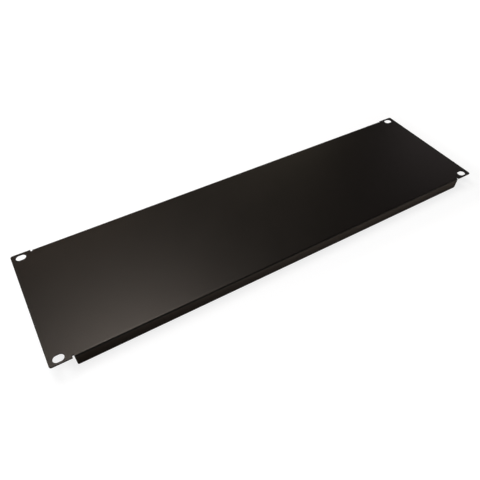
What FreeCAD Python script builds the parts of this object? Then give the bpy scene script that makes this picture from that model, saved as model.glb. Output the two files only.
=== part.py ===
import FreeCAD, Part
import math
import os

# Blanking panel for a 19-inch equipment rack, three rack units high: one steel sheet whose two
# long edges are folded back into flanges, with a flat slotted ear at each end.
# Millimetres. X runs along the width and Y across the height. Z is the front face's outward
# normal, and the panel lies on the free edges of its two flanges at Z = 0.

# Rack grid: the panel fills whole rack units, less a gap that keeps neighbours apart.
rack_unit = 44.45
rack_units_high = 3
neighbour_gap = 0.85
panel_width = 482.6

# Folded sheet.
sheet_thickness = 1.2
bend_inner_radius = 0.8
flange_depth = 12.7
flange_corner_radius = 1.5

# Ears, and the bend relief that parts each ear from the flange beside it.
ear_length = 18.7
ear_corner_radius = 2.0
relief_width = 1.5
relief_past_bend = 0.3
relief_corner_radius = 0.25

# Mounting slots: from the panel's ends and long edges to their centres, and their own size.
slot_end_distance = 8.75
slot_edge_distance = 5.5
slot_length = 9.5
slot_width = 7.0

# Places that follow from those sizes.
panel_height = rack_units_high * rack_unit - neighbour_gap
half_width = panel_width / 2
half_height = panel_height / 2
bend_outer_radius = bend_inner_radius + sheet_thickness
bend_line_y = half_height - bend_outer_radius
bend_centre_z = flange_depth - bend_outer_radius
back_z = flange_depth - sheet_thickness
ear_root_x = half_width - ear_length
flange_end_x = ear_root_x - relief_width
relief_floor_y = bend_line_y - relief_past_bend

WIDTHWISE = FreeCAD.Vector(1, 0, 0)
HEIGHTWISE = FreeCAD.Vector(0, 1, 0)
UPRIGHT = FreeCAD.Vector(0, 0, 1)
ORIGIN = FreeCAD.Vector(0, 0, 0)


def edges_along(solid, direction, places):
    """Straight edges of the solid that run along direction through one of the places."""
    found = []
    for edge in solid.Edges:
        start = edge.firstVertex().Point
        run = edge.lastVertex().Point - start
        if run.Length < 1e-6 or run.cross(direction).Length > 1e-6:
            continue
        if any(place.distanceToLine(start, direction) < 1e-6 for place in places):
            found.append(edge)
    return found


def four_corners(x, y, z):
    """The point at x, y, z and its mirror images across the panel's two centre planes."""
    return [FreeCAD.Vector(side * x, end * y, z) for side in (-1, 1) for end in (-1, 1)]


def sheet_rectangle(x_low, x_high, half_span):
    """Flat rectangle of the front sheet, centred on Y = 0."""
    corner = FreeCAD.Vector(x_low, -half_span, back_z)
    return Part.makeBox(x_high - x_low, 2 * half_span, sheet_thickness, corner)


def front_sheet():
    """Flat front: full height at the ears, and up to the bend lines between them."""
    web = sheet_rectangle(-flange_end_x, flange_end_x, bend_line_y)
    neck = sheet_rectangle(-ear_root_x, ear_root_x, relief_floor_y)
    left_ear = sheet_rectangle(-half_width, -ear_root_x, half_height)
    right_ear = sheet_rectangle(ear_root_x, half_width, half_height)
    sheet = web.fuse([neck, left_ear, right_ear]).removeSplitter()

    ear_corners = four_corners(half_width, half_height, back_z)
    sheet = sheet.makeFillet(ear_corner_radius, edges_along(sheet, UPRIGHT, ear_corners))

    # A relief's inner corners are rounded as far as the walls beside them allow.
    radius = min(relief_corner_radius, relief_past_bend, relief_width / 2)
    relief_corners = four_corners(ear_root_x, relief_floor_y, back_z)
    relief_corners += four_corners(flange_end_x, relief_floor_y, back_z)
    return sheet.makeFillet(radius, edges_along(sheet, UPRIGHT, relief_corners))


def folded_flange():
    """Bend and flange along the far long edge: one section, drawn from end to end in X."""
    def on_section(y, z):
        return FreeCAD.Vector(-flange_end_x, y, z)

    def bend_arc(radius):
        """Quarter turn about the bend's axis, from the front sheet down to the flange."""
        diagonal = radius * math.sqrt(0.5)
        start = on_section(bend_line_y, bend_centre_z + radius)
        middle = on_section(bend_line_y + diagonal, bend_centre_z + diagonal)
        end = on_section(bend_line_y + radius, bend_centre_z)
        return Part.Arc(start, middle, end).toShape()

    outer_bend = bend_arc(bend_outer_radius)
    inner_bend = bend_arc(bend_inner_radius)
    outer_foot = on_section(half_height, 0)
    inner_foot = on_section(half_height - sheet_thickness, 0)
    outline = Part.Wire([
        outer_bend,
        Part.makeLine(outer_bend.lastVertex().Point, outer_foot),
        Part.makeLine(outer_foot, inner_foot),
        Part.makeLine(inner_foot, inner_bend.lastVertex().Point),
        inner_bend,
        Part.makeLine(inner_bend.firstVertex().Point, outer_bend.firstVertex().Point),
    ])
    flange = Part.Face(outline).extrude(WIDTHWISE * 2 * flange_end_x)

    free_corners = four_corners(flange_end_x, half_height, 0)
    return flange.makeFillet(flange_corner_radius, edges_along(flange, HEIGHTWISE, free_corners))


def slot_cutter(centre_x, centre_y):
    """Round-ended cutter for one mounting slot, long along X, right through the ear."""
    radius = slot_width / 2
    straight = slot_length - slot_width
    low = FreeCAD.Vector(centre_x - straight / 2, centre_y, back_z)
    high = FreeCAD.Vector(centre_x + straight / 2, centre_y, back_z)
    middle = Part.makeBox(straight, slot_width, sheet_thickness, low - HEIGHTWISE * radius)
    ends = [Part.makeCylinder(radius, sheet_thickness, place) for place in (low, high)]
    return middle.fuse(ends).removeSplitter()


def blanking_panel():
    far_flange = folded_flange()
    near_flange = far_flange.mirror(ORIGIN, HEIGHTWISE)
    panel = front_sheet().fuse([far_flange, near_flange]).removeSplitter()
    slot_centres = four_corners(half_width - slot_end_distance, half_height - slot_edge_distance, back_z)
    slots = [slot_cutter(centre.x, centre.y) for centre in slot_centres]
    return panel.cut(slots)


os.makedirs("parts", exist_ok=True)
blanking_panel().exportStep("parts/blanking_panel.step")
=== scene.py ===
import math
import bpy
from mathutils import Matrix, Vector
from mathutils.geometry import delaunay_2d_cdt


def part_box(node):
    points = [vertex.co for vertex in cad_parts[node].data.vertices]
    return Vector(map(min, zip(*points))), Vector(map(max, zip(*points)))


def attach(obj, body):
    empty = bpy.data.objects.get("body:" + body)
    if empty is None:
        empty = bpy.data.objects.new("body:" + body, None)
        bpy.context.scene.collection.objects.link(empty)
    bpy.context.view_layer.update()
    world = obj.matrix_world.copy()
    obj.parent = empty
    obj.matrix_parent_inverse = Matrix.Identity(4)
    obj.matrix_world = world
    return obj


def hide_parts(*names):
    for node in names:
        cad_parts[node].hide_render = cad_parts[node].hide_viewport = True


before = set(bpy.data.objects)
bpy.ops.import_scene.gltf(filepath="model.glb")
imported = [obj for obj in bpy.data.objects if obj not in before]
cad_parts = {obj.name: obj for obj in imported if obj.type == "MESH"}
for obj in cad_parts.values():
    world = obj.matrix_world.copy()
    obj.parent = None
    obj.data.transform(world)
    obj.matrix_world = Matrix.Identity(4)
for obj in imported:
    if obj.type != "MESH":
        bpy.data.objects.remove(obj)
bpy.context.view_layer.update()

# Rack blanking panel: one folded steel sheet under a satin black powder coat. Metres throughout.
MM = 0.001
NODE = "blanking_panel"

low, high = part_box(NODE)
half_width = (high.x - low.x) / 2
half_height = (high.y - low.y) / 2

# The sheet's own sizes, as in the solid.
sheet_thickness = 1.2 * MM
bend_inner_radius = 0.8 * MM
flange_corner_radius = 1.5 * MM
ear_length = 18.7 * MM
ear_corner_radius = 2.0 * MM
relief_width = 1.5 * MM
relief_past_bend = 0.3 * MM
relief_corner_radius = 0.25 * MM
slot_end_distance = 8.75 * MM
slot_edge_distance = 5.5 * MM
slot_length = 9.5 * MM
slot_width = 7.0 * MM

# The coat flows round every cut edge, and round the ears' inner corners.
edge_round = 0.25 * MM
coated_corner_radius = 0.3 * MM

# How finely the mesh divides its curves and its flats, how close two points are one, and the kind
# of triangulation that fills the outline alone.
EDGE_STEPS = 4
CORNER_STEPS = 8
SLOT_STEPS = 16
BEND_STEPS = 14
GRID = 12 * MM
MERGE = 0.001 * MM
INSIDE_ONLY = 2

# Places that follow from those sizes, on the sheet's middle surface.
bend_mid_radius = bend_inner_radius + sheet_thickness / 2
bend_line = half_height - bend_inner_radius - sheet_thickness
bend_run = bend_mid_radius * math.pi / 2
bend_centre_z = high.z - bend_inner_radius - sheet_thickness
ear_root = half_width - ear_length
flange_end = ear_root - relief_width
relief_floor = bend_line - relief_past_bend
flange_foot = bend_line + bend_run + bend_centre_z - low.z
bend_stations = [bend_line + bend_run * step / BEND_STEPS for step in range(BEND_STEPS + 1)]


# The flat blank ---------------------------------------------------------------------------------

def rounded_corner(before, corner, after, radius, steps):
    """Points round one corner of a loop, each with the direction that leaves the sheet there.

    The sheet lies to the left of the loop, so a left turn is an outer corner."""
    into = (corner - before).normalized()
    turn = -into.angle_signed((after - corner).normalized())
    side = math.copysign(1, turn)
    start = corner - into * radius * math.tan(abs(turn) / 2)
    centre = start + Vector((-into.y, into.x)) * radius * side
    straight_out = Vector((into.y, -into.x))
    points = []
    for step in range(steps + 1):
        outward = Matrix.Rotation(turn * step / steps, 2) @ straight_out
        points.append((centre + outward * radius * side, outward))
    return points


def divided(start, end, outward):
    """Points within one straight run of a loop: even ones, or the bend's own across a flange's end."""
    run = end - start
    if abs(run.x) < MERGE and abs(start.x) < ear_root - MERGE:
        shares = sorted((math.copysign(s, start.y) - start.y) / run.y for s in bend_stations)
        return [(start + run * share, outward) for share in shares if MERGE < share < 1 - MERGE]
    count = max(1, round(run.length / GRID))
    return [(start + run * step / count, outward) for step in range(1, count)]


def closed_loop(corners, steps):
    """Corners, each with its radius, made into one loop of points with outward directions."""
    places = [Vector(corner[:2]) for corner in corners]
    loop = []
    for index, corner in enumerate(corners):
        after = places[(index + 1) % len(places)]
        arc = rounded_corner(places[index - 1], places[index], after, corner[2], steps)
        if loop:
            if (arc[0][0] - loop[-1][0]).length > MERGE:
                loop += divided(loop[-1][0], arc[0][0], loop[-1][1])
            else:
                arc = arc[1:]
        loop += arc
    if (loop[0][0] - loop[-1][0]).length > MERGE:
        return loop + divided(loop[-1][0], loop[0][0], loop[-1][1])
    return loop[:-1]


def outer_loop():
    """Round the whole blank, anticlockwise: one quarter and its three mirror images."""
    quarter = [
        (half_width, half_height, ear_corner_radius),
        (ear_root, half_height, coated_corner_radius),
        (ear_root, relief_floor, relief_corner_radius),
        (flange_end, relief_floor, relief_corner_radius),
        (flange_end, flange_foot, flange_corner_radius),
    ]
    corners = []
    for across, along in ((1, 1), (-1, 1), (-1, -1), (1, -1)):
        turned = [(x * across, s * along, radius) for x, s, radius in quarter]
        corners += turned if across == along else turned[::-1]
    return closed_loop(corners, CORNER_STEPS)


def slot_loop(centre_x, centre_s):
    """Round one mounting slot, clockwise, so that the sheet stays on the left."""
    across, along, radius = slot_length / 2, slot_width / 2, slot_width / 2
    turns = ((-1, -1), (-1, 1), (1, 1), (1, -1))
    corners = [(centre_x + across * i, centre_s + along * j, radius) for i, j in turns]
    return closed_loop(corners, SLOT_STEPS)


def all_loops():
    """The outline first, then the four slots."""
    slot_x = half_width - slot_end_distance
    slot_s = half_height - slot_edge_distance
    slots = [slot_loop(slot_x * i, slot_s * j) for i in (-1, 1) for j in (-1, 1)]
    return [outer_loop()] + slots


def inner_points():
    """Rows of points that keep the bends even and the flats free of slivers, and each row's edges."""
    half_run = flange_end - edge_round
    columns = round(2 * half_run / GRID)
    rows = [side * s for s in bend_stations for side in (-1, 1)]
    flat_rows = round(2 * bend_line / GRID)
    rows += [bend_line * (2 * step / flat_rows - 1) for step in range(1, flat_rows)]
    points, edges = [], []
    for s in rows:
        for column in range(columns + 1):
            if column:
                edges.append((len(points) - 1, len(points)))
            points.append(Vector((half_run * (2 * column / columns - 1), s)))
    return points, edges


# The folded sheet -------------------------------------------------------------------------------

def folded(point, height):
    """A point of the blank, at a height off its middle surface, once the flanges are folded back.

    Gives its place, the blank's own Y direction there and the front face's normal there."""
    side = math.copysign(1, point.y)
    past = abs(point.y) - bend_line
    if past <= 0 or abs(point.x) > (flange_end + ear_root) / 2:
        place = Vector((point.x, point.y, high.z - sheet_thickness / 2 + height))
        return place, Vector((0, 1, 0)), Vector((0, 0, 1))
    angle = min(past / bend_mid_radius, math.pi / 2)
    radius = bend_mid_radius + height
    y = bend_line + radius * math.sin(angle)
    z = bend_centre_z + radius * math.cos(angle) - max(past - bend_run, 0)
    along = Vector((0, math.cos(angle), -math.sin(angle) * side))
    normal = Vector((0, math.sin(angle) * side, math.cos(angle)))
    return Vector((point.x, y * side, z)), along, normal


def edge_profile():
    """Down over a cut edge, front to back: inset, height, and the normal's outward and upward parts."""
    half = sheet_thickness / 2
    front = []
    for step in range(EDGE_STEPS + 1):
        angle = math.pi / 2 * step / EDGE_STEPS
        inset = edge_round * (1 - math.sin(angle))
        height = half - edge_round * (1 - math.cos(angle))
        front.append((inset, height, math.sin(angle), math.cos(angle)))
    back = [(inset, -height, out, -up) for inset, height, out, up in reversed(front)]
    return front + back


def flat_layout(loops):
    """The blank's points and triangles inside its rounded edges, and the points along each loop."""
    points, edges = [], []
    for loop in loops:
        first = len(points)
        points += [point - outward * edge_round for point, outward in loop]
        edges += [(first + i, first + (i + 1) % len(loop)) for i in range(len(loop))]
    first = len(points)
    rows, row_edges = inner_points()
    points += rows
    edges += [(a + first, b + first) for a, b in row_edges]
    layout, _, triangles, origins, _, _ = delaunay_2d_cdt(points, edges, [], INSIDE_ONLY, MERGE)

    laid_at = {source: index for index, sources in enumerate(origins) for source in sources}
    rims = []
    source = 0
    for loop in loops:
        rims.append([laid_at[source + i] for i in range(len(loop))])
        source += len(loop)
    for hole in rims[1:]:
        triangles = [triangle for triangle in triangles if not set(hole).issuperset(triangle)]
    return layout, triangles, rims


def folded_panel():
    """The sheet as one closed mesh: its two faces from one layout, joined round every edge."""
    loops = all_loops()
    layout, triangles, rims = flat_layout(loops)
    places, normals = [], []
    for side in (1, -1):
        for point in layout:
            place, _, normal = folded(point, side * sheet_thickness / 2)
            places.append(place)
            normals.append(normal * side)
    faces = [tuple(face) for face in triangles]
    faces += [tuple(index + len(layout) for index in reversed(face)) for face in triangles]

    for loop, rim in zip(loops, rims):
        rings = [rim]
        for inset, height, out, up in edge_profile()[1:-1]:
            rings.append([])
            for point, outward in loop:
                place, along, normal = folded(point - outward * inset, height)
                level = Vector((outward.x, 0, 0)) + along * outward.y
                rings[-1].append(len(places))
                places.append(place)
                normals.append(level * out + normal * up)
        rings.append([index + len(layout) for index in rim])
        for upper, lower in zip(rings, rings[1:]):
            for i in range(len(loop)):
                j = (i + 1) % len(loop)
                faces.append((upper[i], lower[i], lower[j], upper[j]))

    mesh = bpy.data.meshes.new("folded_panel")
    mesh.from_pydata(places, [], faces)
    mesh.validate()
    mesh.shade_smooth()
    mesh.normals_split_custom_set_from_vertices([normal.normalized() for normal in normals])
    panel = bpy.data.objects.new("folded_panel", mesh)
    bpy.context.collection.objects.link(panel)
    return panel


# Materials --------------------------------------------------------------------------------------

def new_material(name):
    """A material without nodes, with its lists of nodes and links."""
    material = bpy.data.materials.new(name)
    material.use_nodes = True
    material.node_tree.nodes.clear()
    return material, material.node_tree.nodes, material.node_tree.links


def spread(nodes, links, value, given, wanted):
    """A socket's range of values mapped onto another range, and held at its ends."""
    span = nodes.new("ShaderNodeMapRange")
    for name, number in zip(("From Min", "From Max", "To Min", "To Max"), (*given, *wanted)):
        span.inputs[name].default_value = number
    links.new(value, span.inputs["Value"])
    return span.outputs["Result"]


def blend(nodes, links, factor, first, second):
    """A mix of two colours, each a plain colour or a socket."""
    mix = nodes.new("ShaderNodeMix")
    mix.data_type = "RGBA"
    links.new(factor, mix.inputs["Factor"])
    for name, colour in (("A", first), ("B", second)):
        if isinstance(colour, tuple):
            mix.inputs[name].default_value = (*colour, 1)
        else:
            links.new(colour, mix.inputs[name])
    return mix.outputs["Result"]


def coordinates(nodes, links, kind):
    """One kind of texture coordinate, as sockets X, Y and Z."""
    place = nodes.new("ShaderNodeTexCoord")
    split = nodes.new("ShaderNodeSeparateXYZ")
    links.new(place.outputs[kind], split.inputs["Vector"])
    return split.outputs


def powder_coat():
    """Satin black powder coat: orange peel, a fine grain, and slight drifts of shade and gloss."""
    material, nodes, links = new_material("powder_coat")
    output = nodes.new("ShaderNodeOutputMaterial")
    shader = nodes.new("ShaderNodeBsdfPrincipled")
    shader.inputs["Metallic"].default_value = 0.0
    shader.inputs["IOR"].default_value = coat_ior
    links.new(shader.outputs["BSDF"], output.inputs["Surface"])
    place = nodes.new("ShaderNodeTexCoord")

    def noise(size, detail):
        texture = nodes.new("ShaderNodeTexNoise")
        texture.inputs["Scale"].default_value = 1 / size
        texture.inputs["Detail"].default_value = detail
        texture.inputs["Roughness"].default_value = 0.5
        links.new(place.outputs["Object"], texture.inputs["Vector"])
        return texture.outputs["Fac"]

    def bump(size, detail, height):
        node = nodes.new("ShaderNodeBump")
        node.inputs["Strength"].default_value = 1.0
        node.inputs["Distance"].default_value = height
        links.new(noise(size, detail), node.inputs["Height"])
        return node

    shade = spread(nodes, links, noise(shade_patch, shade_detail), noise_span, (0, 1))
    links.new(blend(nodes, links, shade, coat_dark, coat_light), shader.inputs["Base Color"])
    gloss = spread(nodes, links, noise(gloss_patch, gloss_detail), noise_span, coat_roughness)
    links.new(gloss, shader.inputs["Roughness"])

    peel = bump(peel_size, peel_detail, peel_height)
    grain = bump(grain_size, grain_detail, grain_height)
    links.new(peel.outputs["Normal"], grain.inputs["Normal"])
    links.new(grain.outputs["Normal"], shader.inputs["Normal"])
    return material


coat_ior = 1.5
coat_dark = (0.0014, 0.0010, 0.0009)
coat_light = (0.0020, 0.0014, 0.0012)
coat_roughness = (0.358, 0.378)
noise_span = (0.3, 0.7)

# Each noise has the size of its patches and its detail, and each bump a height as well.
shade_patch = 1 / 22
shade_detail = 3
gloss_patch = 1 / 35
gloss_detail = 4
peel_size = 1.6 * MM
peel_detail = 1
peel_height = 0.045 * MM
grain_size = 0.35 * MM
grain_detail = 2
grain_height = 0.012 * MM

panel = folded_panel()
panel.data.materials.append(powder_coat())
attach(panel, "root")
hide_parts(NODE)


# Studio -----------------------------------------------------------------------------------------

def arithmetic(nodes, links, operation, *values):
    """A maths node over numbers and sockets, as its output socket."""
    node = nodes.new("ShaderNodeMath")
    node.operation = operation
    for socket, value in zip(node.inputs, values):
        if isinstance(value, (int, float)):
            socket.default_value = value
        else:
            links.new(value, socket)
    return node.outputs[0]


def straight_rays(nodes, links, path):
    """1 for what the camera sees directly or through glass, and 0 for the light on the object."""
    camera, glass = path.outputs["Is Camera Ray"], path.outputs["Is Transmission Ray"]
    return arithmetic(nodes, links, "ADD", camera, glass)


def added(nodes, links, strength, path, rays, level):
    """A strength with a level added to it for one kind of ray."""
    return arithmetic(nodes, links, "MULTIPLY_ADD", path.outputs[rays], level, strength)


def studio_floor():
    """Pale table, white with the panel's shadow on it. In the panel's gloss its tone is a painted
    reflection, dull at the left end and brighter to the right.
    """
    bpy.ops.mesh.primitive_plane_add(size=floor_size, location=(0, 0, low.z))
    floor = bpy.context.object
    floor.name = "floor"
    material, nodes, links = new_material("pale_floor")
    output = nodes.new("ShaderNodeOutputMaterial")
    path = nodes.new("ShaderNodeLightPath")

    place = coordinates(nodes, links, "Object")
    # Painted reflection: in the panel's gloss the floor's tone is dull under the left end and brighter
    # from the middle on.
    across = spread(nodes, links, place["X"], (-half_width, 0), (0, 1))
    painted_reflection = blend(nodes, links, across, painted_reflection_left, painted_reflection_right)
    tone = blend(nodes, links, path.outputs["Is Glossy Ray"], floor_tone, painted_reflection)
    matt = nodes.new("ShaderNodeBsdfDiffuse")
    links.new(tone, matt.inputs["Color"])

    outside = []
    for axis, half in (("X", half_width), ("Y", half_height)):
        from_middle = arithmetic(nodes, links, "ABSOLUTE", place[axis])
        outside.append(arithmetic(nodes, links, "SUBTRACT", from_middle, half))
    away = arithmetic(nodes, links, "MAXIMUM", *outside)
    glow = spread(nodes, links, away, (glow_near, glow_far), (floor_glow, 1))
    far_glow = spread(nodes, links, away, (gloss_near, gloss_far), (0, gloss_glow))
    strength = arithmetic(nodes, links, "MULTIPLY", glow, straight_rays(nodes, links, path))
    strength = added(nodes, links, strength, path, "Is Glossy Ray", far_glow)
    white = nodes.new("ShaderNodeEmission")
    links.new(strength, white.inputs["Strength"])

    whole = nodes.new("ShaderNodeAddShader")
    links.new(matt.outputs[0], whole.inputs[0])
    links.new(white.outputs[0], whole.inputs[1])
    links.new(whole.outputs[0], output.inputs["Surface"])
    floor.data.materials.append(material)


def studio_world():
    """White behind the object. Its gloss sees that white low round the horizon, and little overhead."""
    world = bpy.data.worlds.new("studio")
    bpy.context.scene.world = world
    world.use_nodes = True
    world.cycles.sampling_method = "NONE"  # Its light comes from the rays that happen to reach it.
    nodes, links = world.node_tree.nodes, world.node_tree.links
    nodes.clear()
    output = nodes.new("ShaderNodeOutputWorld")
    background = nodes.new("ShaderNodeBackground")
    background.inputs["Color"].default_value = (*WHITE, 1)
    path = nodes.new("ShaderNodeLightPath")
    direction = coordinates(nodes, links, "Generated")
    horizon = spread(nodes, links, direction["Z"], (horizon_low, horizon_high), (1, 0))
    strength = straight_rays(nodes, links, path)
    strength = added(nodes, links, strength, path, "Is Diffuse Ray", world_level)
    strength = added(nodes, links, strength, path, "Is Glossy Ray", world_gloss)
    strength = added(nodes, links, strength, path, "Is Glossy Ray", horizon)
    links.new(strength, background.inputs["Strength"])
    links.new(background.outputs[0], output.inputs["Surface"])


def lamp(name, azimuth, elevation, distance, size, radiance, tint, glossy=True, diffuse=True):
    """Area lamp facing the object.

    Azimuth turns from +Y towards +X, and radiance is how bright the lamp itself looks."""
    a, e = math.radians(azimuth), math.radians(elevation)
    centre = (low + high) / 2
    away = Vector((math.sin(a) * math.cos(e), math.cos(a) * math.cos(e), math.sin(e)))
    data = bpy.data.lights.new(name, "AREA")
    data.shape = "RECTANGLE"
    data.size, data.size_y = size
    data.energy = radiance * math.pi * size[0] * size[1]
    data.color = tint
    light = bpy.data.objects.new(name, data)
    bpy.context.collection.objects.link(light)
    light.location = centre + away * distance
    light.rotation_mode = "QUATERNION"
    light.rotation_quaternion = away.to_track_quat("Z", "Y")
    light.visible_glossy = glossy
    light.visible_diffuse = diffuse


def photo_camera():
    """The photo's viewpoint, fitted to the sheet's edges in it."""
    data = bpy.data.cameras.new("camera")
    data.lens = camera_lens
    data.sensor_width = camera_sensor
    camera = bpy.data.objects.new("camera", data)
    bpy.context.collection.objects.link(camera)
    camera.location = camera_place
    camera.rotation_euler = [math.radians(angle) for angle in camera_turn]
    bpy.context.scene.camera = camera


camera_lens = 35.0873
camera_sensor = 36.0
camera_place = (-0.20809, -0.28884, 0.35127)
camera_turn = (42.7439, -1.0059, -30.9369)

WHITE = (1.0, 1.0, 1.0)
WARM = (1.0, 0.865, 0.76)
AMBER = (1.0, 0.71, 0.48)
STRAW = (1.0, 0.845, 0.64)
ROSE = (1.0, 0.85, 0.85)

# The floor's own tone, and a painted reflection that the panel's gloss shows in its place: a dull warm
# tone under the panel's left end, running into a brighter one at its middle.
floor_size = 12.0
floor_tone = (0.282, 0.285, 0.29)
painted_reflection_left = (0.24, 0.185, 0.14)
painted_reflection_right = (0.60, 0.50, 0.42)

# The floor's glow for the camera has this level beside the panel and rises to 1 between two distances
# from it. In the gloss it rises from nothing to a level of its own, further out.
floor_glow = 0.77
glow_near = 0.025
glow_far = 0.12
gloss_glow = 0.8
gloss_near = 0.3
gloss_far = 1.0

# The world's level for matt surfaces and for gloss. In the gloss its white fades out between two
# heights over the horizon, as sines of elevation.
world_level = 0.22
world_gloss = 0.006
horizon_low = 0.03
horizon_high = 0.12

photo_camera()
studio_floor()
studio_world()

# Each lamp has its azimuth and elevation in degrees, distance, width and height, radiance and tint.
# These four give the photo's reflections, and the key shows in the gloss alone.
lamp("key", -10.1, 74.6, 1.749, (0.489, 0.803), 10.53, WARM, diffuse=False)
lamp("back_left", -7.9, 26.8, 1.1, (0.562, 0.064), 4.92, AMBER)
lamp("back_right", 31.9, 23.7, 1.1, (0.5, 0.06), 4.44, STRAW)
lamp("right", 66.4, 23.0, 1.1, (0.28, 0.148), 0.89, ROSE)

# Strips that show in the gloss alone, and mostly from the panel's other sides.
strip_distance = 1.1
strip_size = (0.7, 0.08)
side_strips = (
    ("far_right", 98, 25, 2.4),
    ("front_right", 138, 30, 1.0),
    ("front", 182, 28, 0.5),
    ("front_left", -132, 34, 1.6),
    ("left", -90, 24, 3.2),
    ("far_left", -45, 16, 2.4),
)
for side, azimuth, elevation, radiance in side_strips:
    lamp(side, azimuth, elevation, strip_distance, strip_size, radiance, WARM, diffuse=False)

# These light the floor and the coat's own colour, and don't show in the gloss.
lamp("overhead", -12.7, 72.4, 1.543, (0.529, 0.692), 2.6, WARM, glossy=False)
lamp("fill", -22, 52, 1.6, (0.9, 0.7), 6.6, WHITE, glossy=False)
lamp("side", -95, 28, 1.2, (0.6, 0.4), 5.5, WHITE, glossy=False)

bpy.context.scene.view_settings.view_transform = "Standard"

bpy.context.view_layer.update()
